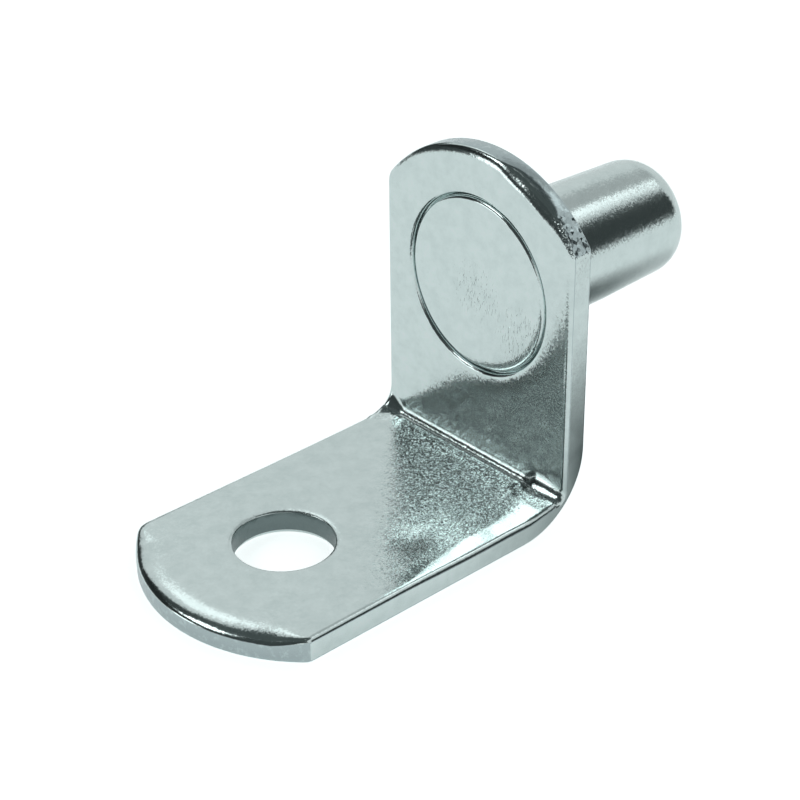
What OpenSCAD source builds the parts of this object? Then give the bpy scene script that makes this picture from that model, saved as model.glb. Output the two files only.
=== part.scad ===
// Shelf support pin: a folded sheet bracket with a headed pin set flush through
// its upright. Sizes are in millimetres.
// The origin is on the pin's axis, at the back face of the upright.
// +Y is the way the pin points, the leg runs towards -Y, and +Z is up.

/* [Bracket] */
// Width of the bracket, side to side
bracket_w = 10; // [9:0.5:12]
// Thickness of the sheet
sheet_t = 1; // [0.8:0.05:1.3]
// Length of the leg, from the back of the upright to its tip
leg_len = 16; // [14:0.5:24]
// Height of the upright, from the underside of the leg to its crown
upright_h = 14; // [13:0.5:20]
// Radius of the arc cut across the leg's tip
tip_r = 6.7; // [6.2:0.1:12]
// Radius of the arc cut across the upright's crown
crown_r = 6.2; // [6.1:0.1:12]
// Radius on the left side's two corners, seen square to the sheet
left_corner_r = 0.9; // [0.3:0.1:1.5]

/* [Fold] */
// Radius outside the fold, over the middle of its width
fold_outer_r = 2.3; // [1.6:0.1:2.6]
// Radius outside the fold at its two sides, where the free edge draws in
fold_side_r = 3.1; // [2.7:0.1:3.8]
// Distance from each side over which the fold's outside draws in
draw_w = 1.6; // [1.2:0.1:2.4]
// Radius of the crease inside the fold
crease_r = 0.4; // [0.2:0.05:0.8]
// Radius inside the fold at its two sides, on the raised ears
ear_r = 1.15; // [1.05:0.05:1.4]
// Distance from each side to the foot of its ear
ear_w = 1.5; // [1.2:0.1:2.4]
// Slope of each ear down to the crease, in degrees
ear_slope = 30; // [25:1:45]
// Slope at which the outside draws in towards each side, in degrees
draw_slope = 45; // [40:1:60]

/* [Edges] */
// Width of the rolled edge along the straight sides
side_roll_w = 0.2; // [0.1:0.05:0.3]
// Width of the rolled edge round the crown and the screw hole
arc_roll_w = 0.3; // [0.1:0.05:0.4]
// Depth of the rolled edges, but for the tip's
roll_depth = 0.12; // [0.05:0.01:0.2]
// Width of the rolled edge round the tip of the leg
tip_roll_w = 0.5; // [0.2:0.05:0.6]
// Depth of the rolled edge round the tip of the leg
tip_roll_depth = 0.25; // [0.1:0.01:0.3]
// Radius of the eased edges on the outer faces
edge_r = 0.1; // [0.05:0.01:0.15]

/* [Screw hole] */
// Diameter of the screw hole
hole_d = 3.9; // [3:0.1:5]
// Distance from the back of the upright to the screw hole's centre
hole_out = 10.45; // [9:0.05:12]
// Sideways offset of the screw hole from the middle of the leg
hole_off = -0.4; // [-0.8:0.1:0.8]
// Diameter of the screw hole at the underside, where the punched slug broke out
break_d = 4.1; // [4:0.1:5.4]
// Height of the broken-out part of the screw hole's wall
break_h = 0.35; // [0.2:0.05:0.5]

/* [Pin] */
// Diameter of the shank over its straight part
shank_d = 5; // [4:0.1:6]
// Diameter of the shank at its free end
shank_end_d = 4.8; // [3.8:0.1:6]
// Length of the shank beyond the back of the upright
shank_len = 8.55; // [7:0.05:12]
// Length of the shank's straight part, before it tapers
straight_len = 4.5; // [3:0.1:6]
// Radius round the shank's free end
end_r = 0.6; // [0.3:0.1:1.5]
// Height of the pin's axis above the underside of the leg
pin_h = 8.5; // [8:0.1:12]
// Diameter of the pin's flush head
head_d = 7.1; // [6.6:0.1:8.6]
// Height above the shank of the collar that is pressed into the sheet
collar_step = 0.25; // [0.2:0.05:0.3]
// Depth of the straight rim of the head
rim_depth = 0.25; // [0.15:0.05:0.35]
// Depth of the whole head, rim and cone
head_depth = 0.75; // [0.5:0.05:0.8]
// Clearance round the head and the collar in their seat
seat_gap = 0.04; // [0.02:0.01:0.08]
// Radius on both lips of the groove round the head
lip_r = 0.07; // [0.03:0.01:0.12]

/* [Hidden] */
$fn = 96;
half_w = bracket_w / 2;
shank_r = shank_d / 2;
shank_end_r = shank_end_d / 2;
collar_r = shank_r + collar_step;
head_r = head_d / 2;
hole_r = hole_d / 2;
// how far a cutter runs past the face that it starts from
past = 1;
// how much further an end arc's edge cutter turns than the arc itself, in degrees
extra_turn = 20;

// Distance from the sheet's outer corner, along the fold's diagonal, to the
// middle of an arc of radius r whose own corner is set in by inset.
function diagonal(inset, r) = sqrt(2) * inset + (sqrt(2) - 1) * r;

// The web between a square corner at the origin and an arc of radius r.
module corner_web(r) {
  difference() {
    square(r);
    translate([r, r]) circle(r);
  }
}

// The empty corner that a rounded edge leaves. The sheet lies towards -x and -y,
// w is the rounding's width on its y face and d is its depth down the x face.
module edge_gap(w, d) {
  r = (w * w + d * d) / (2 * d);
  difference() {
    translate([-w, -d]) square([w + past, d + past]);
    translate([-w, -r]) circle(r);
  }
}

// Swaps the two directions of a flat shape.
module swapped() {
  mirror([1, -1, 0]) children();
}

// Sets a side view across the bracket: x of the view runs to the front, y up.
module across(width) {
  rotate([90, 0, -90]) linear_extrude(width, center = true) children();
}

// Copies a feature of the right side to both sides.
module both_sides() {
  children();
  mirror([1, 0, 0]) children();
}

// Turns a quarter ring about a line across the bracket, from down to back.
module quarter_ring(centre) {
  translate([0, -centre, centre])
  rotate([0, 90, 0])
  rotate_extrude(angle = 90) children();
}

// Swaps leg and upright, which mirror each other about the fold's diagonal.
module as_upright() {
  mirror([0, 1, 1]) children();
}

// Everything under a plane that rises towards the right side at the given slope,
// starting start_w from the side at height start_s on the fold's diagonal.
module under_slope(start_w, start_s, slope) {
  run = start_w + past;
  rotate([45, 0, 0]) rotate([90, 0, 0])
  linear_extrude(2 * leg_len, center = true)
  polygon([
    [half_w - start_w, start_s],
    [half_w + past, start_s + run * tan(slope)],
    [half_w + past, -past],
    [half_w - start_w, -past]
  ]);
}

// Side view of the folded sheet.
module side_view() {
  difference() {
    square([leg_len, upright_h]);
    translate([sheet_t, sheet_t]) square([leg_len, upright_h]);
    corner_web(fold_outer_r);
  }
  translate([sheet_t, sheet_t]) corner_web(crease_r);
}

// The raised ear inside the fold, at the right side.
module ear() {
  intersection() {
    translate([half_w - ear_w / 2, 0, 0])
    across(ear_w) translate([sheet_t, sheet_t]) corner_web(ear_r);
    under_slope(ear_w, diagonal(sheet_t, 0), ear_slope);
  }
}

// What the fold's outside loses where it draws in, at the right side.
module drawn_side() {
  intersection() {
    translate([half_w + past / 2 - draw_w / 2, 0, 0])
    across(draw_w + past) corner_web(fold_side_r);
    under_slope(draw_w, diagonal(0, fold_outer_r), draw_slope);
  }
}

// The edges along the right side of a panel that lies as the leg does.
module panel_side(len) {
  translate([half_w, -sheet_t - ear_r, sheet_t])
  rotate([90, 0, 0]) linear_extrude(len) edge_gap(side_roll_w, roll_depth);
  translate([half_w, -fold_side_r, 0])
  mirror([0, 0, 1]) rotate([90, 0, 0]) linear_extrude(len) edge_gap(edge_r, edge_r);
}

// The edges round the fold, at the right side.
module fold_side() {
  quarter_ring(fold_side_r)
  translate([fold_side_r, half_w]) edge_gap(edge_r, edge_r);
  quarter_ring(sheet_t + ear_r)
  translate([ear_r, half_w]) mirror([1, 0, 0]) swapped() edge_gap(side_roll_w, roll_depth);
}

// What rounding the left corner, where an arc of radius r about the origin meets
// the side, takes off: the web outside an arc of radius left_corner_r.
module corner_loss(r) {
  in_x = half_w - left_corner_r;
  in_y = -sqrt((r - left_corner_r) ^ 2 - in_x ^ 2);
  turn = atan2(in_y, in_x);
  mirror([1, 0, 0])
  difference() {
    polygon([
      [in_x, in_y],
      [half_w, in_y],
      [half_w, in_y + left_corner_r * tan(turn / 2)],
      [r * cos(turn), r * sin(turn)]
    ]);
    translate([in_x, in_y]) circle(left_corner_r);
  }
}

// The arc cut across a panel's end, with its rounded corner and its edges, for one
// that lies as the leg. The upper edge is rolled by roll_w, down to roll_d.
module panel_end(len, r, roll_w, roll_d) {
  sweep = 2 * asin(half_w / r) + extra_turn;
  translate([0, r - len, 0]) {
    linear_extrude(4 * sheet_t, center = true)
    difference() {
      translate([-half_w - past, -r - past]) square([bracket_w + 2 * past, r + past]);
      circle(r);
    }
    linear_extrude(4 * sheet_t, center = true) corner_loss(r);
    rotate_extrude(angle = sweep, start = 270 - sweep / 2) {
      translate([r, sheet_t]) edge_gap(roll_w, roll_d);
      translate([r, 0]) mirror([0, 1, 0]) edge_gap(edge_r, edge_r);
    }
  }
}

// The punched screw hole: a rolled top rim, a straight wall and a wider break-out.
module screw_hole() {
  translate([hole_off, -hole_out, 0]) {
    translate([0, 0, -past]) cylinder(h = sheet_t + 2 * past, r = hole_r);
    translate([0, 0, -past]) cylinder(h = past, d = break_d);
    cylinder(h = break_h, d1 = break_d, d2 = hole_d);
    rotate_extrude()
    translate([hole_r, sheet_t]) mirror([1, 0, 0]) edge_gap(arc_roll_w, roll_depth);
  }
}

// Half section of the head and of the collar inside the sheet, made larger by gap.
// y runs along the pin, from the back face of the upright.
module head_half(gap) {
  polygon([
    [0, -sheet_t],
    [head_r + gap, -sheet_t],
    [head_r + gap, rim_depth - sheet_t],
    [collar_r + gap, head_depth - sheet_t],
    [collar_r + gap, 0],
    [0, 0]
  ]);
}

// Half section of the shank behind the upright: straight, tapered, rounded.
module shank_half() {
  polygon([
    [0, 0],
    [shank_r, 0],
    [shank_r, straight_len],
    [shank_end_r, shank_len - end_r],
    [0, shank_len - end_r]
  ]);
  square([shank_end_r - end_r, shank_len]);
  translate([shank_end_r - end_r, shank_len - end_r]) circle(end_r);
}

// Turns a half section about the pin's axis.
module turned() {
  rotate([-90, 0, 0]) rotate_extrude() children();
}

// The countersunk hole that the pin's head and collar sit in, open at both faces.
module pin_seat() {
  translate([0, 0, pin_h]) {
    turned() {
      head_half(seat_gap);
      translate([0, -sheet_t - past]) square([head_r + seat_gap, past]);
      square([collar_r + seat_gap, past]);
    }
    turned()
    translate([head_r + seat_gap, -sheet_t]) rotate(180) edge_gap(lip_r, lip_r);
  }
}

module bracket() {
  color("silver")
  translate([0, 0, -pin_h])
  difference() {
    union() {
      across(bracket_w) side_view();
      both_sides() ear();
    }
    both_sides() {
      drawn_side();
      fold_side();
      panel_side(leg_len);
      as_upright() panel_side(upright_h);
    }
    panel_end(leg_len, tip_r, tip_roll_w, tip_roll_depth);
    as_upright() panel_end(upright_h, crown_r, arc_roll_w, roll_depth);
    screw_hole();
    pin_seat();
  }
}

module pin() {
  color("gainsboro")
  turned() {
    difference() {
      head_half(0);
      translate([head_r, -sheet_t]) mirror([0, 1, 0]) edge_gap(lip_r, lip_r);
    }
    shank_half();
  }
}

bracket();
pin();
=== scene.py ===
"""Shelf support pin: a folded, nickel plated sheet bracket with a headed pin set flush through its upright.

Every size below is in millimetres. The pieces are modelled in millimetres and brought to metres at the end,
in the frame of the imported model: the origin is on the pin's axis at the back of the upright, +Y is the way
the pin points and +Z is up.
"""
import logging
import math
from dataclasses import dataclass, field
from enum import Enum
from typing import Any, Callable, Sequence

import bmesh
import bpy
from mathutils import Matrix, Vector


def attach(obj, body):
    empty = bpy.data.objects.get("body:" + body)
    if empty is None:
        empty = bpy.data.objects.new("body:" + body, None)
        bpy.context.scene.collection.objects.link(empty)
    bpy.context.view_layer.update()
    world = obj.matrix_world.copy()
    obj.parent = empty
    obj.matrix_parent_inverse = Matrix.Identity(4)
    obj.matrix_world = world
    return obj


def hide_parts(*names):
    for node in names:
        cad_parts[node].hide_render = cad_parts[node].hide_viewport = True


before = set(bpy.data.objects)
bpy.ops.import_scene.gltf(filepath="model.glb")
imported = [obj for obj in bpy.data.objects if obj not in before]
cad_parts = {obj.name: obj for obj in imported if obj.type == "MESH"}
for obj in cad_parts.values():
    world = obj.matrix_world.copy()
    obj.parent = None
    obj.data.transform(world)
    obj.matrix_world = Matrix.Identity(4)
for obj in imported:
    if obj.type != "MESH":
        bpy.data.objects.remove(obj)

LOG = logging.getLogger("shelf_support_pin")
MM = 0.001
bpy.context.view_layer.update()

NEAR = 0.001  # mm: closer than this, two places are the same
CUTTER_OVER = 1  # mm: how far a cutter stands out of the sheet
SQUARE_ON = 0.99  # a normal has at least this share along an axis on a face square to it
END_LEAN = 0.35  # a normal has at most this share upwards on the cut end of a panel that lies flat
SIDE_TURN = 0.97  # a normal has at least this share sideways on the strip's long sides, which stay plated


class Pick(Enum):
    """What a selection in edit mode is made of."""

    VERT = "VERT"
    EDGE = "EDGE"
    FACE = "FACE"


class Finish(Enum):
    """The surfaces that the two pieces show, in the order of their material slots."""

    PLATED = 0
    SHEARED = 1
    PUNCHED = 2


# ---------------------------------------------------------------- modelling


def deselect_all() -> None:
    """Leaves edit mode and selects nothing."""
    if bpy.context.object is not None and bpy.context.object.mode != "OBJECT":
        bpy.ops.object.mode_set(mode="OBJECT")
    bpy.ops.object.select_all(action="DESELECT")


def activate(*pieces: bpy.types.Object) -> None:
    """Selects some pieces and nothing else, in object mode.

    Args:
        pieces: the objects, of which the first becomes active.
    """
    deselect_all()
    for piece in pieces:
        piece.select_set(True)
    bpy.context.view_layer.objects.active = pieces[0]


def pick(kind: Pick, wanted: Callable[[Any], bool]) -> None:
    """Selects, in edit mode, what passes a test and nothing else.

    Args:
        kind: whether vertices, edges or faces are selected.
        wanted: the test, given one bmesh element.
    """
    bpy.ops.mesh.select_mode(type=kind.value)
    bpy.ops.mesh.select_all(action="DESELECT")
    mesh = bpy.context.edit_object.data
    bm = bmesh.from_edit_mesh(mesh)
    parts = {Pick.VERT: bm.verts, Pick.EDGE: bm.edges, Pick.FACE: bm.faces}[kind]
    hits = [part for part in parts if wanted(part)]
    for part in hits:
        part.select_set(True)
    bm.select_flush_mode()
    bmesh.update_edit_mesh(mesh)


def apply_modifier(piece: bpy.types.Object, kind: str, **settings: Any) -> None:
    """Adds a modifier to the piece, sets it and applies it.

    Args:
        piece: the object that is changed.
        kind: the modifier's type.
        settings: the modifier's own values, by name.
    """
    activate(piece)
    bpy.ops.object.modifier_add(type=kind)
    modifier = piece.modifiers[-1]
    for name, value in settings.items():
        setattr(modifier, name, value)
    bpy.ops.object.modifier_apply(modifier=modifier.name)


def turned(
    name: str, half: Sequence[tuple[float, float]], centre: Vector, along: Vector, sides: int
) -> bpy.types.Object:
    """Turns a solid: a disc is extruded and scaled from one ring to the next.

    Args:
        name: the object's name.
        half: radius and height of each ring, in order along the axis.
        centre: the point on the axis at height zero.
        along: the axis, +Y or +Z.
        sides: how many sides each ring has.

    Returns:
        The solid, in object mode.
    """
    deselect_all()
    across = Vector((1, 1, 1)) - along
    radius, height = half[0]
    tip = (math.pi / 2, 0, 0) if along.y else (0, 0, 0)
    bpy.ops.mesh.primitive_circle_add(
        vertices=sides, radius=radius, fill_type="NGON", location=centre + along * height, rotation=tip
    )
    piece = bpy.context.object
    piece.name = name
    bpy.ops.object.transform_apply(location=True, rotation=True, scale=True)
    bpy.ops.object.mode_set(mode="EDIT")
    bpy.ops.mesh.select_all(action="SELECT")
    for next_radius, next_height in half[1:]:
        rise = along * (next_height - height)
        bpy.ops.mesh.extrude_region_move(TRANSFORM_OT_translate={"value": rise})
        ratio = next_radius / radius
        bpy.ops.transform.resize(value=along + across * ratio, center_override=centre + along * next_height)
        radius, height = next_radius, next_height
    bpy.ops.mesh.select_all(action="SELECT")
    bpy.ops.mesh.normals_make_consistent(inside=False)
    bpy.ops.object.mode_set(mode="OBJECT")
    return piece


def arc_points(
    centre: tuple[float, float], radii: tuple[float, float], turn: tuple[float, float], steps: int
) -> list[tuple[float, float]]:
    """Points on an elliptical arc of a half section.

    Args:
        centre: the arc's centre, as radius and height.
        radii: its half axes, across and along the piece's axis.
        turn: its first and last angle in degrees, from the outward direction towards the axis direction.
        steps: how many segments it has.

    Returns:
        The arc's points, first and last included.
    """
    points = []
    for i in range(steps + 1):
        a = math.radians(turn[0] + (turn[1] - turn[0]) * i / steps)
        points.append((centre[0] + radii[0] * math.cos(a), centre[1] + radii[1] * math.sin(a)))
    return points


def smooth_step(value: float, start: float, end: float) -> float:
    """A smooth rise from 0 at start to 1 at end."""
    t = min(1.0, max(0.0, (value - start) / (end - start)))
    return t * t * (3 - 2 * t)


@dataclass(frozen=True)
class Roll:
    """A rolled edge: its width across the face and its depth down the wall."""

    width: float
    depth: float

    def mixed(self, other: "Roll", share: float) -> "Roll":
        """A roll between this one and another, by the other's share."""
        parts = ((self.width, other.width), (self.depth, other.depth))
        return Roll(*(mine + (theirs - mine) * share for mine, theirs in parts))


@dataclass
class Panel:
    """One flat panel of the bracket, built lying as the leg does, with its end towards -Y.

    The underside is at z = 0 and the fold's outer corner is on the x axis.

    Attributes:
        length: distance from the outer corner to the middle of the end.
        end_radius: radius of the end's arc.
        end_roll, side_roll: the rolled upper edge, along the end and along the sides.
        roll_blend: distances from the side over which one roll becomes the other.
        fold_line: distance from the outer corner at which the flat panel stops.
        eased: radius of the lower edge.
        corner_radii: radius of the left and of the right corner of the end.
        flat_ring: width of the ring beside the roll that keeps the face's shading flat.
        upper_part: share of the thickness above which a face belongs to the upper face.
        crush_place, crush_size, crush_depth: where the end's roll is crushed deeper, across the width.
    """

    name: str
    length: float
    end_radius: float
    end_roll: Roll
    width: float
    sheet: float
    fold_line: float
    side_roll: Roll = Roll(0.26, 0.18)
    roll_blend: tuple[float, float] = (0.05, 1.1)
    eased: float = 0.1
    corner_radii: tuple[float, float] = (0.9, 0.5)
    arc_steps: int = 72
    corner_steps: int = 8
    roll_steps: int = 10
    eased_steps: int = 3
    flat_ring: float = 0.15
    upper_part: float = 0.6
    crush_place: float = 0
    crush_size: float = 1
    crush_depth: float = 0

    @property
    def end_centre(self) -> Vector:
        """Centre of the end's arc."""
        return Vector((0, self.end_radius - self.length))

    def corner(self, side: int) -> tuple[Vector, float, float]:
        """The arc that rounds a corner of the end.

        Args:
            side: -1 for the left corner, 1 for the right one.

        Returns:
            Its centre, its radius and the angle from -Y at which it meets the end's arc.
        """
        radius = self.corner_radii[side > 0]
        x = self.width / 2 - radius
        y = -math.sqrt((self.end_radius - radius) ** 2 - x**2)
        return self.end_centre + Vector((side * x, y)), radius, math.atan2(x, -y)

    def outline(self) -> bpy.types.Object:
        """Spins the end's arcs from one point, draws the two sides and fills the outline.

        Returns:
            The outline's face, in edit mode.
        """
        deselect_all()
        half = self.width / 2
        (left, _, left_turn), (right, _, right_turn) = self.corner(-1), self.corner(1)
        bpy.ops.mesh.primitive_plane_add(size=1, location=(0, 0, 0))
        piece = bpy.context.object
        piece.name = self.name
        bpy.ops.object.mode_set(mode="EDIT")
        bpy.ops.mesh.select_mode(type="VERT")
        bpy.ops.mesh.select_all(action="SELECT")
        bpy.ops.mesh.merge(type="CENTER")
        bpy.ops.mesh.select_all(action="SELECT")
        bpy.ops.transform.translate(value=(-half, -self.fold_line, 0))
        bpy.ops.mesh.extrude_region_move(TRANSFORM_OT_translate={"value": (0, left.y + self.fold_line, 0)})
        for centre, turn, steps in (
            (left, math.pi / 2 - left_turn, self.corner_steps),
            (self.end_centre, left_turn + right_turn, self.arc_steps),
            (right, math.pi / 2 - right_turn, self.corner_steps),
        ):
            bpy.ops.mesh.spin(steps=steps, angle=-turn, center=(centre.x, centre.y, 0), axis=(0, 0, 1))
        bpy.ops.mesh.extrude_region_move(TRANSFORM_OT_translate={"value": (0, -self.fold_line - right.y, 0)})
        bpy.ops.mesh.select_all(action="SELECT")
        bpy.ops.mesh.edge_face_add()
        return piece

    def inward(self, place: Vector) -> tuple[Vector, Roll]:
        """What the rolled edge does at a place on the outline.

        Args:
            place: the point, seen square to the sheet.

        Returns:
            The direction square to the outline, into the sheet, and the roll's size there.
        """
        half = self.width / 2
        side = 1 if place.x > 0 else -1
        centre, radius, _ = self.corner(side)
        if place.y > centre.y - NEAR / 10:
            return Vector((-side, 0)), self.side_roll
        roll = self.side_roll.mixed(self.end_roll, smooth_step(half - abs(place.x), *self.roll_blend))
        crush = self.crush_depth * math.exp(-(((place.x - self.crush_place) / self.crush_size) ** 4))
        roll = Roll(roll.width, roll.depth + crush)
        if abs((place - centre).length - radius) < NEAR:
            return (centre - place).normalized(), roll
        return (self.end_centre - place).normalized(), roll

    def raise_edges(self, piece: bpy.types.Object) -> None:
        """Extrudes the outline ring by ring and gives the rings the profile of the blanked edge.

        Args:
            piece: the flat outline, still in edit mode.
        """
        eased = [(math.sin(t), math.cos(t)) for t in self.quarter(self.eased_steps)]
        rolled = [(math.sin(t), math.cos(t)) for t in self.quarter(self.roll_steps)]
        rolled.append((1, -self.flat_ring))
        for ring in range(len(eased) + len(rolled) - 1):
            pick(Pick.FACE, lambda f: all(abs(v.co.z - ring) < NEAR for v in f.verts))
            bpy.ops.mesh.extrude_region_move(TRANSFORM_OT_translate={"value": (0, 0, 1)})
        bpy.ops.mesh.select_all(action="SELECT")
        bpy.ops.mesh.normals_make_consistent(inside=False)
        bpy.ops.object.mode_set(mode="OBJECT")
        for vert in piece.data.vertices:
            ring = round(vert.co.z)
            way, roll = self.inward(vert.co.xy)
            if ring < len(eased):
                rise, inset = eased[ring]
                inset, height = self.eased * (1 - rise), self.eased * (1 - inset)
            else:
                rise, inset = rolled[ring - len(eased)]
                inset, height = roll.width * (1 - inset), self.sheet - roll.depth * (1 - rise)
            vert.co.x += way.x * inset
            vert.co.y += way.y * inset
            vert.co.z = height

    @staticmethod
    def quarter(steps: int) -> list[float]:
        """Angles that part a quarter turn into steps, first and last included."""
        return [math.pi / 2 * i / steps for i in range(steps + 1)]

    def punch(self, piece: bpy.types.Object, cutter: bpy.types.Object) -> None:
        """Cuts a hole with a turned cutter and throws the cutter away.

        Args:
            piece: the panel.
            cutter: the solid that the hole leaves out.
        """
        apply_modifier(piece, "BOOLEAN", object=cutter, operation="DIFFERENCE", solver="EXACT")
        activate(cutter)
        bpy.ops.object.delete()

    def slice(self, piece: bpy.types.Object, columns: Sequence[float], rows: Sequence[float]) -> None:
        """Cuts the panel into columns, and its upper face into rows near the fold.

        Args:
            piece: the finished panel.
            columns: where the columns part, across the width.
            rows: where the rows part, as distances from the outer corner.
        """
        activate(piece)
        bpy.ops.object.mode_set(mode="EDIT")
        for x in columns:
            bpy.ops.mesh.select_all(action="SELECT")
            bpy.ops.mesh.bisect(plane_co=(x, 0, 0), plane_no=(1, 0, 0))
        for y in rows:
            pick(Pick.FACE, lambda f: f.calc_center_median().z > self.sheet * self.upper_part)
            bpy.ops.mesh.bisect(plane_co=(0, -y, 0), plane_no=(0, 1, 0))
        bpy.ops.object.mode_set(mode="OBJECT")


@dataclass
class Fold:
    """The fold: a sharp crease with raised ears inside it, and sides that draw in outside it.

    Attributes:
        crease: radius inside the fold, in the middle.
        ears: radius at the top of the left and the right ear.
        ear_starts: distance from the middle at which each ear begins.
        ear_ramps: run over which each ear rises.
        ear_fall: how fast an ear falls again towards the side.
        outer, outer_side: radius outside the fold, in the middle and at the sides.
        draw: distances from the middle over which the outer radius grows.
        room: distance from the outer corner within which the panels' points make room for the arcs.
        fall_width, fall_fade: width of the strip at the leg's right that falls off, and where it fades.
        flare_width, flare_fade: what the strip is wider by next to the crease, and where that fades.
        fall_slope, fall_ease, fall_start: the strip's slope, the easing of its edge, where it comes in.
        dent_place, dent_depth, dent_size: a shallow dent, by its place across and its reach from the crease.
        rise_slope, rise_reach: the leg's slope at the crease, and the distance in which it levels out.
        steps: segments round the fold.
    """

    crease: float = 0.42
    ears: tuple[float, float] = (1.15, 0.88)
    ear_starts: tuple[float, float] = (4.05, 2.85)
    ear_ramps: tuple[float, float] = (0.85, 0.7)
    ear_fall: float = 0.19
    outer: float = 2.3
    outer_side: float = 3.1
    draw: tuple[float, float] = (3.0, 5.0)
    room: float = 3.6
    fall_width: float = 0.85
    fall_fade: tuple[float, float] = (4.0, 10.0)
    flare_width: float = 0.5
    flare_fade: tuple[float, float] = (0.8, 3.0)
    fall_slope: float = 0.15
    fall_ease: float = 0.12
    fall_start: tuple[float, float] = (0.7, 2.2)
    dent_place: tuple[float, float] = (2.8, 5.9)
    dent_depth: float = 0.042
    dent_size: float = 0.55
    rise_slope: float = 0.027
    rise_reach: float = 8
    steps: int = 24

    def inner_radius(self, x: float) -> float:
        """Radius inside the fold.

        Args:
            x: place across the width, from the middle.

        Returns:
            The radius there.
        """
        past = abs(x) - self.ear_starts[x > 0]
        ramp = self.ear_ramps[x > 0]
        rise = (self.ears[x > 0] - self.crease) * smooth_step(past, 0, ramp)
        return self.crease + rise - self.ear_fall * max(0.0, past - ramp) ** 2

    def outer_radius(self, x: float) -> float:
        """Radius outside the fold at a place across the width."""
        return self.outer + (self.outer_side - self.outer) * smooth_step(abs(x), *self.draw)

    def leg_rise(self, reach: float) -> float:
        """How far the fold leaves the leg's face raised, at a distance from the crease."""
        left = max(0.0, 1 - max(reach, 0.0) / self.rise_reach)
        return self.rise_slope * self.rise_reach / 3 * left**3  # its slope falls with the square of left

    def side_fall(self, x: float, reach: float, half_width: float) -> float:
        """How far the leg's face falls off near its right side, beside the fold.

        Args:
            x: place across the width, from the middle.
            reach: distance from the crease.
            half_width: half the sheet's width.

        Returns:
            The fall, square to the face.
        """
        wide = self.fall_width * (1 - smooth_step(reach, *self.fall_fade))
        wide += self.flare_width * (1 - smooth_step(reach, *self.flare_fade))
        past = max(0.0, x - (half_width - wide))
        fall = math.hypot(past, self.fall_ease) - self.fall_ease
        return self.fall_slope * fall * smooth_step(reach, *self.fall_start)

    def dent(self, x: float, reach: float) -> float:
        """Depth of the dent that the fold's tool leaves in the leg's face, at a place on it."""
        away = math.hypot(x - self.dent_place[0], reach - self.dent_place[1])
        return self.dent_depth * math.exp(-((away / self.dent_size) ** 2) / 2)


@dataclass
class Hole:
    """The punched screw hole.

    Attributes:
        out: distance from the outer corner to the hole's middle.
        offset: how far it lies right of the middle of the width.
        roll, roll_depth: the rolled rim above.
        break_radius, break_height: the wider break-out below.
        wall_reach: a face whose middle is nearer than this to the hole's axis belongs to the hole.
        wall_normals: share upwards of the normals on the wall, from the break-out to the rolled rim.
    """

    radius: float = 1.95
    out: float = 10.45
    offset: float = -0.4
    roll: float = 0.3
    roll_depth: float = 0.07
    roll_steps: int = 8
    break_radius: float = 2.05
    break_height: float = 0.16
    wall_reach: float = 2.15
    wall_normals: tuple[float, float] = (-0.1, 0.35)
    sides: int = 128

    def cutter(self, sheet: float) -> bpy.types.Object:
        """Turns the solid that the hole leaves out: break-out, straight wall and rolled rim.

        Args:
            sheet: thickness of the sheet.

        Returns:
            The cutter.
        """
        rim_radius = self.radius + self.roll
        half = [
            (self.break_radius, -CUTTER_OVER),
            (self.break_radius, 0),
            (self.radius, self.break_height),
            *arc_points(
                (rim_radius, sheet - self.roll_depth), (self.roll, self.roll_depth), (180, 90), self.roll_steps
            ),
            (rim_radius, sheet + CUTTER_OVER),
        ]
        return turned("hole_cutter", half, Vector((self.offset, -self.out, 0)), Vector((0, 0, 1)), self.sides)


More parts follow.
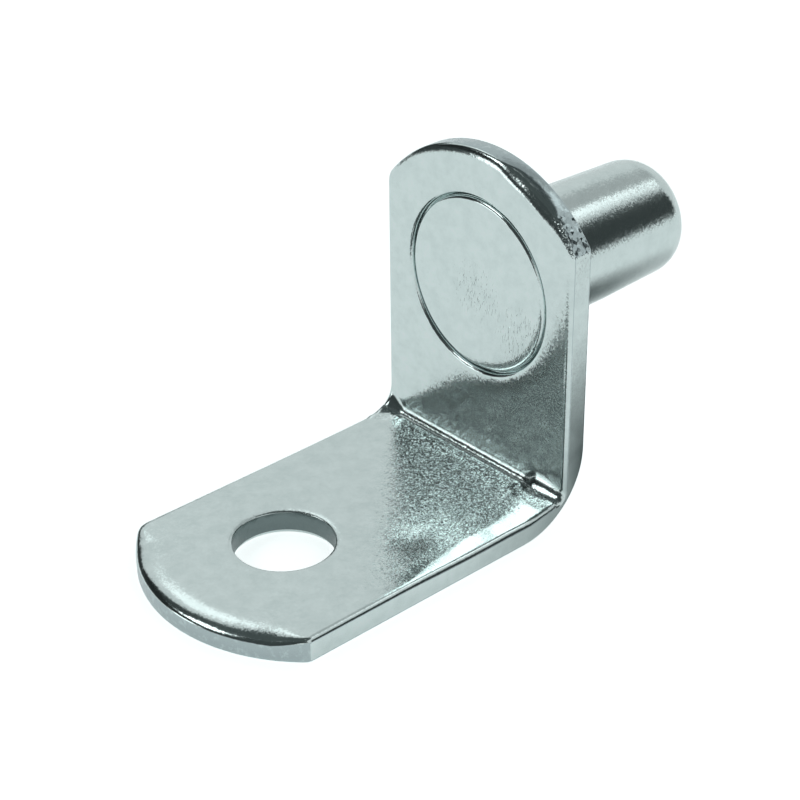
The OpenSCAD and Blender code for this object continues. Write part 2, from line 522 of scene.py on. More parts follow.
@dataclass
class Seat:
    """The stepped seat of the pin's head, and the dish that the press leaves round it.

    Attributes:
        axis_height: height of the pin's axis above the outer corner.
        rim_depth, head_depth: how far the head's rim and its back lie behind the upright's face.
        gap: room between the pin and the seat, which shows as a fine groove.
        lip: radius of the eased edge on each side of the groove.
        dish_reach, dish_depth: radius at which the dish starts, and its depth at the head's rim.
        dish_slope, dish_run: slope of the head's face at its rim, and the run in which it levels out.
        ring_step, ring_count: the rings that carry the dish outside the groove.
        dish_edge: distance from the groove at which the cutter leaves the face.
        skim: how far above the face it leaves it, so that no cut lies in the face.
    """

    axis_height: float = 8.5
    head_radius: float = 3.55
    collar_radius: float = 2.75
    rim_depth: float = 0.25
    head_depth: float = 0.75
    gap: float = 0.08
    lip: float = 0.17
    lip_steps: int = 5
    dish_reach: float = 4.5
    dish_depth: float = 0.045
    dish_slope: float = 0.065
    dish_run: float = 2.0
    ring_step: float = 0.15
    ring_count: int = 4
    dish_edge: float = 0.7
    skim: float = 0.0012
    sides: int = 144

    def dish(self, radius: float) -> float:
        """How deep the dish is.

        Args:
            radius: distance from the pin's axis.

        Returns:
            The depth below the upright's flat face.
        """
        if radius > self.head_radius:
            left = (self.dish_reach - radius) / (self.dish_reach - self.head_radius)
            return self.dish_depth * max(0.0, left) ** 2
        inner = min(self.head_radius - radius, self.dish_run)
        return self.dish_depth + self.dish_slope * (inner - inner**2 / (2 * self.dish_run))

    def cutter(self, sheet: float) -> bpy.types.Object:
        """Turns the solid that the seat leaves out, for an upright that lies as the leg does.

        Args:
            sheet: thickness of the sheet.

        Returns:
            The cutter.
        """
        edge = self.head_radius + self.gap + self.lip
        top = sheet - self.dish(edge)
        rings = [edge + self.ring_step * (i + 1) for i in range(self.ring_count)]
        half = [
            (self.collar_radius + self.gap, -CUTTER_OVER),
            (self.collar_radius + self.gap, sheet - self.head_depth),
            (self.head_radius + self.gap, sheet - self.rim_depth),
            *arc_points((edge, top - self.lip), (self.lip, self.lip), (180, 90), self.lip_steps),
            *((radius, sheet - self.dish(radius)) for radius in rings),
            (edge + self.dish_edge, sheet + self.skim),
            (edge + self.dish_edge, sheet + CUTTER_OVER),
        ]
        return turned("seat_cutter", half, Vector((0, -self.axis_height, 0)), Vector((0, 0, 1)), self.sides)


@dataclass
class Grain:
    """How coarse the plated face's grain is: 1 on the leg, with changes that come in between two places.

    Attributes:
        upright, upright_from: what the upright's face is finer by, and where, above the leg's face.
        tip, tip_from: what the tip is finer by, and where, short of the leg's end.
        near_face: points lower than this above the leg's face belong to the leg and the crease.
        crease, crease_from: what the crease is coarser by, and where, along Y.
        side, side_from: what the leg's right side is finer by, and where, across the width.
        band, band_from, band_to: the mottled band below the crease, and its two edges.
        torn, torn_from, torn_rim: the crown's torn right corner, where it starts, and the width of its rim.
    """

    upright: float = 0.65
    upright_from: tuple[float, float] = (0.1, 0.4)
    tip: float = 0.75
    tip_from: tuple[float, float] = (2.2, 1.2)
    near_face: float = 0.3
    crease: float = 0.3
    crease_from: tuple[float, float] = (-2.3, -1.8)
    side: float = 0.8
    side_from: tuple[float, float] = (3.9, 4.4)
    band: float = 0.9
    band_from: tuple[float, float] = (-2.1, -1.8)
    band_to: tuple[float, float] = (1.3, 1.45)
    torn: float = 6
    torn_from: tuple[float, float] = (3.6, 4.3)
    torn_rim: float = 0.12

    def at(self, place: Vector, leg_length: float, above: float, from_crown: float) -> float:
        """The grain at a place on the bracket.

        Args:
            place: the point, in millimetres from the outer corner.
            leg_length: the leg's length.
            above: the point's height above the leg's face.
            from_crown: how far it lies inside the crown's arc, or more than torn_rim anywhere else.

        Returns:
            How coarse the grain is, never below 0.
        """
        x, y, _ = place
        tip_start, tip_end = (leg_length - short for short in self.tip_from)
        grain = 1 - self.upright * smooth_step(above, *self.upright_from)
        grain -= self.tip * smooth_step(-y, tip_start, tip_end)
        if above < self.near_face:
            grain += self.crease * smooth_step(y, *self.crease_from)
            grain -= self.side * smooth_step(x, *self.side_from)
            grain += self.band * smooth_step(y, *self.band_from) * smooth_step(-y, *self.band_to)
        if from_crown < self.torn_rim:
            grain += self.torn * smooth_step(x, *self.torn_from)
        return max(0.0, grain)


@dataclass
class Bracket:
    """The folded sheet bracket.

    Attributes:
        leg_length, upright_height: a hair under 16 and 14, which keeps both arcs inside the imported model's box.
        tip_roll, crown_roll: the rolled edge of the leg's tip and of the upright's crown.
        crown_crush: place, size and extra depth of the crushed part of the crown's roll, seen from behind.
        column_steps: spacing of the columns in the middle and over the ears.
        ears_from, side_margin: where the close columns begin, and the strip at the side without any.
        close_rows, row_start, row_step, row_count: the rows beside the fold, and the even rows after them.
        leg_face: heights from the leg's face between which a point near it belongs to it.
        bare_fold: distance from the crease that the side's fall and the dent leave alone.
    """

    width: float = 10
    sheet: float = 1
    leg_length: float = 15.997
    upright_height: float = 13.9999
    tip_radius: float = 6.7
    crown_radius: float = 6.2
    materials: Sequence[bpy.types.Material] = ()
    tip_roll: Roll = Roll(1.0, 0.37)
    crown_roll: Roll = Roll(0.6, 0.28)
    crown_crush: tuple[float, float, float] = (-2.7, 1.2, 0.4)
    column_steps: tuple[float, float] = (0.4, 0.07)
    ears_from: float = 2.74
    side_margin: float = 0.25
    close_rows: tuple[float, ...] = (1.7, 2.0)
    row_start: float = 2.4
    row_step: float = 0.4
    row_count: int = 18
    leg_face: tuple[float, float] = (-0.25, 0.3)
    bare_fold: float = 0.7
    fold: Fold = field(default_factory=Fold)
    hole: Hole = field(default_factory=Hole)
    seat: Seat = field(default_factory=Seat)
    grain: Grain = field(default_factory=Grain)

    @property
    def fold_line(self) -> float:
        """Distance from the outer corner to where the flat panels end."""
        return self.sheet + self.fold.crease

    def columns(self) -> list[float]:
        """Where the sheet is sliced across its width: finely over the ears.

        Returns:
            The places, from the left side to the right one.
        """
        wide, close = self.column_steps
        span = self.width / 2 - self.side_margin - self.ears_from
        right = [wide * i for i in range(1, int(self.ears_from / wide) + 1)]
        right += [self.ears_from + close * i for i in range(int(span / close) + 1)]
        return sorted([-x for x in right] + [0.0] + right)

    def rows(self) -> list[float]:
        """Where the upper face is sliced along a panel, as distances from the outer corner."""
        return [*self.close_rows, *(self.row_start + self.row_step * i for i in range(self.row_count))]

    def build(self) -> bpy.types.Object:
        """Builds both panels, joins them by the fold and shapes it.

        Returns:
            The bracket, in millimetres, with the fold's outer corner on the x axis.
        """
        shared = (self.width, self.sheet, self.fold_line)
        leg = Panel("bracket_shell", self.leg_length, self.tip_radius, self.tip_roll, *shared)
        upright = Panel("upright", self.upright_height, self.crown_radius, self.crown_roll, *shared)
        upright.corner_radii = leg.corner_radii[::-1]  # it is turned over, so its sides change places
        upright.crush_place, upright.crush_size, upright.crush_depth = self.crown_crush
        made = []
        for panel, cutter in ((leg, self.hole.cutter), (upright, self.seat.cutter)):
            piece = panel.outline()
            panel.raise_edges(piece)
            panel.punch(piece, cutter(self.sheet))
            panel.slice(piece, self.columns(), self.rows())
            self.mark_finishes(piece)
            made.append(piece)
        made[1].rotation_euler = Matrix.Rotation(math.pi, 3, Vector((0, 1, -1))).to_euler()
        activate(made[1])
        bpy.ops.object.transform_apply(location=True, rotation=True, scale=True)
        activate(*made)
        bpy.ops.object.join()
        self.spin_fold(made[0])
        self.shape_fold(made[0])
        self.shape_leg(made[0])
        self.paint_grain(made[0])
        return made[0]

    def mark_finishes(self, piece: bpy.types.Object) -> None:
        """Gives the cut ends and the punched wall of a panel their own finishes.

        Args:
            piece: the panel, still lying flat.
        """
        for material in self.materials:
            piece.data.materials.append(material)
        hole = Vector((self.hole.offset, -self.hole.out, 0))
        low, high = self.hole.wall_normals
        for face in piece.data.polygons:
            finish = Finish.PLATED
            if (face.center - hole).xy.length < self.hole.wall_reach:
                # The hole's wall gets the punched finish, painted darker as shade in the hole; the break-out
                # below it keeps the plating.
                finish = Finish.PUNCHED if low < face.normal.z < high else Finish.PLATED
            elif abs(face.normal.z) < END_LEAN and abs(face.normal.x) < SIDE_TURN:
                finish = Finish.SHEARED
            face.material_index = finish.value

    def spin_fold(self, piece: bpy.types.Object) -> None:
        """Spins the leg's end through a quarter turn to meet the upright, and merges the seam.

        Args:
            piece: both panels, joined in one object.
        """
        line = self.fold_line

        def meets(face: Any, axis: int, place: float) -> bool:
            """Tests whether a face is the end that a panel turns to the fold.

            Args:
                face: the bmesh face.
                axis: 1 for the leg's end, 2 for the upright's.
                place: where the end lies along that axis.

            Returns:
                True if it is.
            """
            middle = face.calc_center_median()
            in_sheet = middle.y > -self.sheet - NEAR if axis == 2 else middle.z < self.sheet + NEAR
            return in_sheet and abs(middle[axis] - place) < NEAR and abs(face.normal[axis]) > SQUARE_ON

        bpy.ops.object.mode_set(mode="EDIT")
        pick(Pick.FACE, lambda f: meets(f, 2, line))
        bpy.ops.mesh.delete(type="ONLY_FACE")
        pick(Pick.FACE, lambda f: meets(f, 1, -line))
        bpy.ops.mesh.spin(
            steps=self.fold.steps, angle=-math.pi / 2, center=(0, -line, line), axis=(1, 0, 0)
        )
        bpy.ops.mesh.delete(type="ONLY_FACE")
        bpy.ops.mesh.select_mode(type="VERT")
        bpy.ops.mesh.select_all(action="SELECT")
        bpy.ops.mesh.remove_doubles(threshold=2 * NEAR)
        bpy.ops.mesh.delete_loose(use_verts=True, use_edges=True, use_faces=False)
        bpy.ops.mesh.normals_make_consistent(inside=False)
        bpy.ops.object.mode_set(mode="OBJECT")
        for face in piece.data.polygons:
            if face.center.y > -line and face.center.z < line:
                face.material_index = Finish.PLATED.value

    def shape_fold(self, piece: bpy.types.Object) -> None:
        """Raises the ears inside the fold and draws its sides in outside it.

        Each ray of the fold slides its inner and outer points so that they lie on arcs of the radius
        wanted at that place across the width, still tangent to both panels. The panels' own points
        beside the fold make room for the arcs.

        Args:
            piece: the folded bracket.
        """
        line = self.fold_line
        room = self.fold.room - line
        for vert in piece.data.vertices:
            x, y, z = vert.co.x, vert.co.y + line, line - vert.co.z
            turn = min(math.pi / 2, max(0.0, math.atan2(max(y, 0.0), max(z, 0.0))))
            if y < 0:
                inner = vert.co.z > self.sheet / 2
            elif z < 0:
                inner = vert.co.y < -self.sheet / 2
            else:
                inner = math.hypot(y, z) - self.fold.crease < self.sheet / 2
            grow = self.fold.inner_radius(x) - self.fold.crease if inner else self.fold.outer_radius(x) - line
            if y < -NEAR:
                vert.co.y -= grow * max(0.0, 1 + y / room)
            elif z < -NEAR:
                vert.co.z += grow * max(0.0, 1 + z / room)
            else:
                vert.co.y += grow * (math.sin(turn) - 1)
                vert.co.z += grow * (1 - math.cos(turn))
                if inner:
                    vert.co.z += self.fold.leg_rise(self.fold.crease) * (1 - turn / (math.pi / 2)) ** 2

    def shape_leg(self, piece: bpy.types.Object) -> None:
        """Gives the leg's face its slight rise to the crease, its fall at the right side and its dent.

        Args:
            piece: the folded bracket.
        """
        low, high = self.leg_face
        for vert in piece.data.vertices:
            x, y, z = vert.co
            reach = -y - self.sheet
            if not low < z - self.sheet < high:
                continue
            if y < -self.fold_line - NEAR:
                vert.co.z += self.fold.leg_rise(reach)
            if y < -self.sheet - self.bare_fold:
                vert.co.z -= self.fold.side_fall(x, reach, self.width / 2)
                vert.co.z -= self.fold.dent(x, reach)

    def paint_grain(self, piece: bpy.types.Object) -> None:
        """Paints how coarse the grain is, as an attribute that the materials read.

        Args:
            piece: the finished bracket.
        """
        coarse = piece.data.attributes.new("coarse", "FLOAT", "POINT")
        crown = self.upright_height - self.crown_radius
        for vert in piece.data.vertices:
            x, _, z = vert.co
            from_crown = self.crown_radius - math.hypot(x, z - crown) if z > crown else self.crown_radius
            grain = self.grain.at(vert.co, self.leg_length, z - self.sheet, from_crown)
            coarse.data[vert.index].value = grain


@dataclass
class Pin:
    """The turned pin: flush head, collar inside the sheet, tapered shank with a rounded end.

    Attributes:
        straight: length of shank before the taper.
        end_round, end_run: half axes of the rounded end, across and along.
        end_turn, end_steps: how far round it the arc goes, in degrees, and its segments.
        face_rings: radii of the rings in the head's face.
        tip_ring: radius of the last ring in the flat end.
        back_step: the collar ends level with the upright's back, and the shank starts this far behind it.
        first_ring: the ring that keeps the shank's start from shading the rest.
        grain: how coarse the grain is on the head and on the shank, where 1 is the bracket's leg.
        scuffs: place across and up from the axis, and size, of each scuffed area on the head.
    """

    seat: Seat
    sheet: float = 1
    shank_radius: float = 2.5
    shank_end_radius: float = 2.4
    shank_length: float = 8.55
    straight: float = 4.5
    end_round: float = 0.6
    end_run: float = 0.95
    end_turn: float = 84
    end_steps: int = 16
    face_rings: tuple[float, ...] = (0.4, 0.8, 1.2, 1.6, 1.9, 2.2, 2.5, 2.8, 3.1)
    tip_ring: float = 0.4
    back_step: float = 0.001
    first_ring: float = 0.3
    grain: tuple[float, float] = (0.15, 0.6)
    scuffs: tuple[tuple[float, float, float], ...] = ((-0.2, -0.2, 1.0), (2.3, -1.3, 0.8))

    def half_section(self) -> list[tuple[float, float]]:
        """Draws the pin's half section.

        Returns:
            Radius and distance behind the upright of each ring, from the head's face to the shank's end.
        """
        face, seat = -self.sheet, self.seat
        edge = seat.head_radius - seat.lip
        end_centre = (self.shank_end_radius - self.end_round, self.shank_length - self.end_run)
        return [
            *((radius, face + seat.dish(radius)) for radius in self.face_rings),
            *arc_points(
                (edge, face + seat.lip + seat.dish(edge)), (seat.lip, seat.lip), (-90, 0), seat.lip_steps
            ),
            (seat.head_radius, face + seat.rim_depth),
            (seat.collar_radius, face + seat.head_depth),
            (seat.collar_radius, 0),
            (self.shank_radius, self.back_step),
            (self.shank_radius, self.first_ring),
            (self.shank_radius, self.straight),
            *arc_points(end_centre, (self.end_round, self.end_run), (0, self.end_turn), self.end_steps),
            (self.tip_ring, self.shank_length),
        ]

    def build(self) -> bpy.types.Object:
        """Turns the pin about its axis, and paints where it is grained and scuffed.

        Returns:
            The pin, in millimetres, with the fold's outer corner on the x axis.
        """
        axis = Vector((0, 0, self.seat.axis_height))
        piece = turned("pin_turned", self.half_section(), axis, Vector((0, 1, 0)), self.seat.sides)
        coarse = piece.data.attributes.new("coarse", "FLOAT", "POINT")
        scuffed = piece.data.attributes.new("scuffed", "FLOAT", "POINT")
        for vert in piece.data.vertices:
            on_head = vert.co.y < -self.sheet / 2
            coarse.data[vert.index].value = self.grain[0] if on_head else self.grain[1]
            for x, z, size in self.scuffs if on_head else ():
                away = math.hypot(vert.co.x - x, vert.co.z - self.seat.axis_height - z) / size
                scuffed.data[vert.index].value += math.exp(-(away**2))
        return piece


def finish_piece(piece: bpy.types.Object, axis_height: float, smooth_below: float = 40) -> None:
    """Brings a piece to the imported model's frame and to metres, and smooths it.

    Args:
        piece: a piece modelled in millimetres from the fold's outer corner.
        axis_height: height of the pin's axis above that corner.
        smooth_below: edges that turn by less than this many degrees are smooth.
    """
    activate(piece)
    piece.location = (0, 0, -axis_height * MM)
    piece.scale = (MM, MM, MM)
    bpy.ops.object.transform_apply(location=True, rotation=True, scale=True)
    bpy.ops.object.shade_smooth_by_angle(angle=math.radians(smooth_below))
    apply_modifier(piece, "WEIGHTED_NORMAL", keep_sharp=True, weight=100)
    deselect_all()


# ---------------------------------------------------------------- finishes


def linear(code: str) -> tuple[float, float, float, float]:
    """Turns an sRGB hex value such as "#c0c8c8" to a linear colour with alpha 1."""
    parts = [int(code[i : i + 2], 16) / 255 for i in (1, 3, 5)]
    return tuple(p / 12.92 if p <= 0.04045 else ((p + 0.055) / 1.055) ** 2.4 for p in parts) + (1.0,)


def add_node(
    tree: bpy.types.NodeTree, kind: str, links: dict[str | int, Any] | None = None, **settings: Any
) -> bpy.types.Node:
    """Adds a node with its settings and links.

    Args:
        tree: the node tree.
        kind: the node's type name.
        links: what goes into each input, by the input's name or number: an output socket or a plain value.
        settings: the node's own properties, by name.

    Returns:
        The new node.
    """
    node = tree.nodes.new(kind)
    for name, value in settings.items():
        setattr(node, name, value)
    for name, value in (links or {}).items():
        if isinstance(value, bpy.types.NodeSocket):
            tree.links.new(value, node.inputs[name])
        else:
            node.inputs[name].default_value = value
    return node


def new_material(name: str) -> tuple[bpy.types.Material, bpy.types.NodeTree, bpy.types.Node]:
    """Makes an empty node material.

    Args:
        name: the material's name.

    Returns:
        The material, its node tree and its output node.
    """
    material = bpy.data.materials.new(name)
    material.use_nodes = True
    tree = material.node_tree
    tree.nodes.clear()
    return material, tree, tree.nodes.new("ShaderNodeOutputMaterial")


def speckled_normal(
    tree: bpy.types.NodeTree, cell_mm: float, tilts: tuple[float, float]
) -> bpy.types.NodeSocket:
    """A surface normal that leans its own way in each small cell, as on a grained metal surface.

    Args:
        tree: the material's node tree.
        cell_mm: the size of a cell.
        tilts: how far the normals lean where the painted grain is 0 and where it is 1, as the full spread
            of each component.

    Returns:
        The normal's socket.
    """
    coarse = add_node(tree, "ShaderNodeAttribute", attribute_name="coarse").outputs["Fac"]
    tilt = add_node(
        tree, "ShaderNodeMapRange", {"Value": coarse, "To Min": tilts[0], "To Max": tilts[1]}, clamp=False
    )
    place = add_node(tree, "ShaderNodeTexCoord").outputs["Object"]
    cells = add_node(tree, "ShaderNodeTexVoronoi", {"Vector": place, "Scale": 1 / (cell_mm * MM)})
    middle = (0.5, 0.5, 0.5)
    lean = add_node(tree, "ShaderNodeVectorMath", {0: cells.outputs["Color"], 1: middle}, operation="SUBTRACT")
    lean = add_node(
        tree, "ShaderNodeVectorMath", {0: lean.outputs[0], "Scale": tilt.outputs["Result"]}, operation="SCALE"
    )
    flat = add_node(tree, "ShaderNodeNewGeometry").outputs["Normal"]
    lean = add_node(tree, "ShaderNodeVectorMath", {0: lean.outputs[0], 1: flat}, operation="ADD")
    return add_node(tree, "ShaderNodeVectorMath", {0: lean.outputs[0]}, operation="NORMALIZE").outputs[0]


@dataclass(frozen=True)
class NickelPlate:
    """Barrel nickel plating over cold-rolled steel, on the sheet's faces and on the pin.

    It gives the eye a pale cool grey mirror that is broken up by the rolled steel's grain, so that light and
    dark areas meet in a sandy border, with faint clouding from the plating barrel. The pressed head also
    has short scuffs. The grain of such steel is typically 0.02 mm, too fine to show, so its cells are drawn
    0.048 mm wide. The pairs roughness and tilt are for grain 0 and grain 1.

    Attributes:
        cloud_mm, cloud_cut: size of the clouding, and the noise values between which it blends.
        cell_mm, tilt: size of the grain's cells, and how far they lean.
        wave_mm, wave_height_mm: the plating's slight unevenness.
        scuff_mm, scuff_cut, scuff_depth_mm: width and length of a scuff, the noise values at its edge, and
            its depth.
    """

    name: str = "nickel_plate_on_rolled_steel"
    colour: str = "#dfe9e8"
    clouded: str = "#d4dfde"
    cloud_mm: float = 0.7
    cloud_cut: tuple[float, float] = (0.35, 0.65)
    roughness: tuple[float, float] = (0.12, 0.19)
    cell_mm: float = 0.048
    tilt: tuple[float, float] = (0.03, 0.10)
    wave_mm: float = 0.45
    wave_height_mm: float = 0.005
    scuff_mm: tuple[float, float] = (0.09, 0.4)
    scuff_cut: tuple[float, float] = (0.54, 0.62)
    scuff_depth_mm: float = 0.012

    def surface(self, tree: bpy.types.NodeTree, place: bpy.types.NodeSocket) -> bpy.types.NodeSocket:
        """Builds the relief: grain, unevenness, and the scuffs where they are painted.

        Args:
            tree: the material's node tree.
            place: the point on the piece.

        Returns:
            The normal's socket.
        """
        grained = speckled_normal(tree, self.cell_mm, self.tilt)
        wave = add_node(tree, "ShaderNodeTexNoise",
                        {"Vector": place, "Scale": 1 / (self.wave_mm * MM), "Detail": 3.0, "Roughness": 0.6})
        uneven = add_node(tree, "ShaderNodeBump",
                          {"Height": wave.outputs["Fac"], "Distance": self.wave_height_mm * MM,
                           "Strength": 1.0, "Normal": grained})
        thin, long = (1 / (size * MM) for size in self.scuff_mm)
        drawn = add_node(tree, "ShaderNodeMapping", {"Vector": place, "Scale": (thin, thin, long)})
        lines = add_node(tree, "ShaderNodeTexNoise", {"Vector": drawn.outputs[0], "Scale": 1.0, "Detail": 1.0})
        lines = add_node(tree, "ShaderNodeMapRange",
                         {"Value": lines.outputs["Fac"], "From Min": self.scuff_cut[0],
                          "From Max": self.scuff_cut[1]})
        scuffed = add_node(tree, "ShaderNodeAttribute", attribute_name="scuffed").outputs["Fac"]
        lines = add_node(tree, "ShaderNodeMath", {0: lines.outputs["Result"], 1: scuffed}, operation="MULTIPLY")
        scratch = add_node(tree, "ShaderNodeBump",
                           {"Height": lines.outputs[0], "Distance": -self.scuff_depth_mm * MM,
                            "Strength": 1.0, "Normal": uneven.outputs["Normal"]})
        return scratch.outputs["Normal"]

    def build(self) -> bpy.types.Material:
        """Makes the material.

        Returns:
            The material.
        """
        material, tree, out = new_material(self.name)
        place = add_node(tree, "ShaderNodeTexCoord").outputs["Object"]
        coarse = add_node(tree, "ShaderNodeAttribute", attribute_name="coarse").outputs["Fac"]
        rough = add_node(tree, "ShaderNodeMapRange",
                         {"Value": coarse, "To Min": self.roughness[0], "To Max": self.roughness[1]})
        cloud = add_node(tree, "ShaderNodeTexNoise",
                         {"Vector": place, "Scale": 1 / (self.cloud_mm * MM), "Detail": 6.0, "Roughness": 0.7})
        share = add_node(tree, "ShaderNodeMapRange",
                         {"Value": cloud.outputs["Fac"], "From Min": self.cloud_cut[0],
                          "From Max": self.cloud_cut[1]})
        colour = add_node(tree, "ShaderNodeMix",
                          {0: share.outputs["Result"], 6: linear(self.clouded), 7: linear(self.colour)},
                          data_type="RGBA")
        shader = add_node(tree, "ShaderNodeBsdfPrincipled",
                          {"Base Color": colour.outputs[2], "Metallic": 1.0,
                           "Roughness": rough.outputs["Result"], "Normal": self.surface(tree, place)})
        tree.links.new(shader.outputs["BSDF"], out.inputs["Surface"])
        return material


@dataclass(frozen=True)
class CutSteel:
    """A steel wall left by shearing or punching, then plated.

    It gives the eye a duller grey than the faces do, mottled where the tool dragged. Its cells are 0.14 mm
    wide, the size of the tears in the crown's corner, and lie almost flat everywhere else.

    Attributes:
        light, dark: the two greys of the mottling.
        mottle_mm, mark_height_mm: size and height of the mottling.
        dark_share, soft: the noise value at which light takes over from dark, and how softly.
        cell_mm, tilt: size of the torn cells, and how far they lean for grain 0 and grain 1.
    """

    name: str
    light: str
    dark: str
    roughness: float
    mottle_mm: float
    mark_height_mm: float
    dark_share: float
    soft: float = 0.08
    cell_mm: float = 0.14
    tilt: tuple[float, float] = (0.03, 0.12)

    def build(self) -> bpy.types.Material:
        """Makes the material.

        Returns:
            The material.
        """
        material, tree, out = new_material(self.name)
        place = add_node(tree, "ShaderNodeTexCoord").outputs["Object"]
        mottle = add_node(tree, "ShaderNodeTexNoise",
                          {"Vector": place, "Scale": 1 / (self.mottle_mm * MM), "Detail": 4.0,
                           "Roughness": 0.65})
        share = add_node(tree, "ShaderNodeMapRange",
                         {"Value": mottle.outputs["Fac"], "From Min": self.dark_share - self.soft,
                          "From Max": self.dark_share + self.soft}, interpolation_type="SMOOTHSTEP")
        colour = add_node(tree, "ShaderNodeMix",
                          {0: share.outputs["Result"], 6: linear(self.dark), 7: linear(self.light)},
                          data_type="RGBA")
        bump = add_node(tree, "ShaderNodeBump",
                        {"Height": mottle.outputs["Fac"], "Distance": self.mark_height_mm * MM, "Strength": 1.0,
                         "Normal": speckled_normal(tree, self.cell_mm, self.tilt)})
        shader = add_node(tree, "ShaderNodeBsdfPrincipled",
                          {"Base Color": colour.outputs[2], "Metallic": 1.0, "Roughness": self.roughness,
                           "Normal": bump.outputs["Normal"]})
        tree.links.new(shader.outputs["BSDF"], out.inputs["Surface"])
        return material


# ---------------------------------------------------------------- studio


LIGHT_TINT = "#f8ffff"
DARK_TINT = "#eaffff"


@dataclass(frozen=True)
class Patch:
    """A soft-edged area of the studio round the object, in degrees.

    Attributes:
        bearing, height: its middle, as a compass direction from +X and a height above level.
        half_wide, half_high: its half sizes.
        soft: width of its soft edge.
        level: how bright it is, where 1 is white.
    """

    name: str
    bearing: float
    height: float
    half_wide: float
    half_high: float
    soft: float
    level: float
    tint: str = LIGHT_TINT


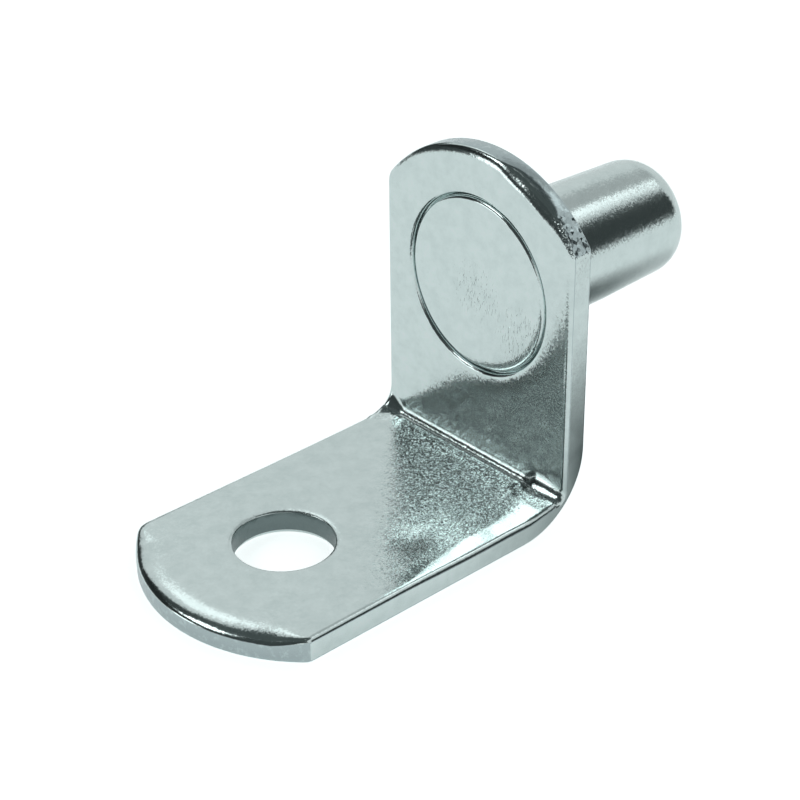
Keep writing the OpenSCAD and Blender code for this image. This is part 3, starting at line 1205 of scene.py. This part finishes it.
@dataclass
class Studio:
    """A pale floor in a white studio with darker and brighter areas that the metal mirrors.

    Attributes:
        floor_z, floor_size: the floor's height, level with the leg's underside, and its side in metres.
        floor_lift: glow that makes the floor white to the camera where no shadow falls.
        mirror_lift, mirror_lift_in_painted_shadow: glow that the metal mirrors, far from the pin and in the
        shadow painted under it.
        painted_shadow_centre, painted_shadow_reach: middle of the shadow painted into the floor's mirrored glow
        under the pin, and the distances over which it fades.
        level: brightness of the studio outside the patches.
        lens, sensor, clip: the camera's focal length and sensor width, and its clip distances in metres.
        camera_place, camera_right, camera_up: where the camera stands and how it is turned.
    """

    floor_z: float = -8.5
    floor_size: float = 1.6
    floor_colour: str = "#f2f4f4"
    floor_lift: float = 0.8
    mirror_lift: float = 0.46
    mirror_lift_in_painted_shadow: float = -0.25
    # Painted shadow: the floor's glow that the metal mirrors is darker round this place under the pin.
    painted_shadow_centre: tuple[float, float, float] = (4.5, 6, 0)
    painted_shadow_reach: tuple[float, float] = (1, 13.5)
    level: float = 0.72
    lens: float = 93.628
    sensor: float = 36
    clip: tuple[float, float] = (0.005, 10)
    camera_place: tuple[float, float, float] = (50.4102, -50.1922, 36.3898)
    camera_right: tuple[float, float, float] = (0.672075, 0.740430, -0.008809)
    camera_up: tuple[float, float, float] = (-0.370456, 0.346509, 0.861797)
    patches: tuple[Patch, ...] = (
        Patch("dim_high_back", 105, 47, 25, 12, 8, 0.46),
        Patch("bright_streak_back", 80, 50, 9, 9, 8, 1.35),
        Patch("bright_soft_left", 158, 47, 10, 7, 5, 1.3),
        Patch("dark_right_back", 42, 21.5, 25, 18.5, 8, 0.05, DARK_TINT),
        Patch("dark_overhead", 240, 75, 179, 13, 6, 0.08, DARK_TINT),
        Patch("dark_above_front", 250, 58, 70, 6, 5, 0.08, DARK_TINT),
        Patch("dark_band_left", 217, 26.5, 34, 12.5, 2, 0.02, DARK_TINT),
        Patch("dark_high_left", 200, 45, 15, 9, 3, 0.05, DARK_TINT),
        Patch("dark_low_left", 171, 10.5, 19, 11.5, 3, 0.04, DARK_TINT),
        Patch("dark_low_middle", 208, 6, 19, 8.5, 2, 0.05, DARK_TINT),
        Patch("dark_front", 268, 18, 34, 16, 6, 0.05, DARK_TINT),
        Patch("dark_high_front", 300, 42, 45, 18, 4, 0.06, DARK_TINT),
        Patch("bright_left", 235, 46.5, 17, 8.5, 2, 2.7),
        Patch("bright_low_front", 238, 6.5, 9, 6, 2, 1.9),
    )

    def floor(self) -> None:
        """Lays a plain pale floor, white to the camera where no shadow falls, with a shadow painted under the pin
        into the glow that the metal mirrors.
        """
        deselect_all()
        bpy.ops.mesh.primitive_plane_add(size=self.floor_size, location=(0, 0, self.floor_z * MM))
        piece = bpy.context.object
        piece.name = "studio_floor"
        material, tree, out = new_material("matt_white_floor")
        path = add_node(tree, "ShaderNodeLightPath")
        shown = add_node(tree, "ShaderNodeMath", {0: path.outputs["Is Camera Ray"], 1: self.floor_lift},
                         operation="MULTIPLY")
        place = add_node(tree, "ShaderNodeTexCoord").outputs["Object"]
        # Painted shadow: the glow that the metal mirrors falls below the matt floor's own light round a place
        # under the pin.
        painted_shadow_spot = tuple(c * MM for c in self.painted_shadow_centre)
        away = add_node(tree, "ShaderNodeVectorMath", {0: place, 1: painted_shadow_spot}, operation="DISTANCE")
        mirror_glow_with_painted_shadow = add_node(tree, "ShaderNodeMapRange",
                            {"Value": away.outputs["Value"], "From Min": self.painted_shadow_reach[0] * MM,
                             "From Max": self.painted_shadow_reach[1] * MM,
                             "To Min": self.mirror_lift_in_painted_shadow, "To Max": self.mirror_lift},
                            interpolation_type="SMOOTHSTEP")
        lift = add_node(tree, "ShaderNodeMath",
                        {0: path.outputs["Is Glossy Ray"], 1: mirror_glow_with_painted_shadow.outputs[0], 2: shown.outputs[0]},
                        operation="MULTIPLY_ADD")
        matt = add_node(tree, "ShaderNodeBsdfDiffuse", {"Color": linear(self.floor_colour)})
        glow = add_node(tree, "ShaderNodeEmission", {"Color": linear(LIGHT_TINT), "Strength": lift.outputs[0]})
        both = add_node(tree, "ShaderNodeAddShader", {0: matt.outputs[0], 1: glow.outputs[0]})
        tree.links.new(both.outputs[0], out.inputs["Surface"])
        piece.data.materials.append(material)

    @staticmethod
    def patch_share(
        tree: bpy.types.NodeTree, patch: Patch, bearing: bpy.types.NodeSocket, height: bpy.types.NodeSocket
    ) -> bpy.types.NodeSocket:
        """Works out how much of a patch shows in a direction.

        Args:
            tree: the world's node tree.
            patch: the patch.
            bearing: the direction's bearing, in radians.
            height: its height above level, in radians.

        Returns:
            A socket that is 1 inside the patch and 0 outside it.
        """
        side = add_node(tree, "ShaderNodeMath", {0: bearing, 1: math.radians(patch.bearing)},
                        operation="SUBTRACT")
        side = add_node(tree, "ShaderNodeMath", {0: side.outputs[0], 1: math.pi, 2: -math.pi}, operation="WRAP")
        rise = add_node(tree, "ShaderNodeMath", {0: height, 1: math.radians(patch.height)},
                        operation="SUBTRACT")
        masks = []
        for offset, reach in ((side, patch.half_wide), (rise, patch.half_high)):
            away = add_node(tree, "ShaderNodeMath", {0: offset.outputs[0]}, operation="ABSOLUTE")
            mask = add_node(tree, "ShaderNodeMapRange",
                            {"Value": away.outputs[0], "From Min": math.radians(reach + patch.soft / 2),
                             "From Max": math.radians(reach - patch.soft / 2)},
                            interpolation_type="SMOOTHSTEP")
            masks.append(mask.outputs["Result"])
        return add_node(tree, "ShaderNodeMath", {0: masks[0], 1: masks[1]}, operation="MULTIPLY").outputs[0]

    def world(self) -> None:
        """Builds the studio's surroundings: white to the camera, patches of light and dark to the metal."""
        world = bpy.data.worlds.new("studio")
        bpy.context.scene.world = world
        world.use_nodes = True
        tree = world.node_tree
        tree.nodes.clear()
        out = tree.nodes.new("ShaderNodeOutputWorld")
        way = add_node(tree, "ShaderNodeTexCoord").outputs["Generated"]
        axes = add_node(tree, "ShaderNodeSeparateXYZ", {0: way})
        height = add_node(tree, "ShaderNodeMath", {0: axes.outputs["Z"]}, operation="ARCSINE").outputs[0]
        bearing = add_node(tree, "ShaderNodeMath", {0: axes.outputs["Y"], 1: axes.outputs["X"]},
                           operation="ARCTAN2").outputs[0]
        colour: Any = tuple(c * self.level for c in linear(LIGHT_TINT))
        for patch in self.patches:
            share = self.patch_share(tree, patch, bearing, height)
            tint = tuple(c * patch.level for c in linear(patch.tint)[:3]) + (1.0,)
            colour = add_node(tree, "ShaderNodeMix", {0: share, 6: colour, 7: tint}, data_type="RGBA",
                              label=patch.name).outputs[2]
        path = add_node(tree, "ShaderNodeLightPath")
        studio = add_node(tree, "ShaderNodeBackground", {"Color": colour, "Strength": 1.0})
        white = add_node(tree, "ShaderNodeBackground", {"Color": (1, 1, 1, 1), "Strength": 1.0})
        both = add_node(tree, "ShaderNodeMixShader",
                        {0: path.outputs["Is Camera Ray"], 1: studio.outputs[0], 2: white.outputs[0]})
        tree.links.new(both.outputs[0], out.inputs["Surface"])

    def camera(self) -> None:
        """Places the camera, with no shift and no depth of field."""
        data = bpy.data.cameras.new("camera")
        data.sensor_width = self.sensor
        data.lens = self.lens
        data.clip_start, data.clip_end = self.clip
        camera = bpy.data.objects.new("camera", data)
        bpy.context.scene.collection.objects.link(camera)
        right, up = Vector(self.camera_right), Vector(self.camera_up)
        turn = Matrix((right, up, right.cross(up))).transposed().to_4x4()
        camera.matrix_world = Matrix.Translation(Vector(self.camera_place) * MM) @ turn
        bpy.context.scene.camera = camera


def main() -> None:
    """Builds the studio, the bracket and the pin, and dresses them."""
    logging.basicConfig(level=logging.INFO, format="%(message)s")
    bpy.context.scene.view_settings.view_transform = "Standard"
    studio = Studio()
    studio.camera()
    studio.world()
    studio.floor()
    plate = NickelPlate().build()
    # The long clean shear of the outline: light, and almost as glossy as the faces.
    sheared = CutSteel(
        "plated_sheared_edge", light="#c9d5d6", dark="#b8c4c6", roughness=0.2,
        mottle_mm=0.3, mark_height_mm=0.010, dark_share=0.6,
    )
    # The punched hole's wall: duller than the outline and mottled, and its greys painted darker to stand in for
    # the shade inside the hole.
    punched = CutSteel(
        "plated_punched_wall_painted_shade", light="#7e8b8b", dark="#6c7878", roughness=0.3,
        mottle_mm=0.25, mark_height_mm=0.012, dark_share=0.3,
    )
    bracket = Bracket(materials=(plate, sheared.build(), punched.build()))
    shell = bracket.build()
    finish_piece(shell, bracket.seat.axis_height)
    pin = Pin(bracket.seat).build()
    finish_piece(pin, bracket.seat.axis_height, smooth_below=60)
    pin.data.materials.append(plate)
    for piece, node in ((shell, "bracket"), (pin, "pin")):
        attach(piece, "root")
        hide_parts(node)
        LOG.info("%s: %d faces", piece.name, len(piece.data.polygons))


if __name__ == "__main__":
    main()
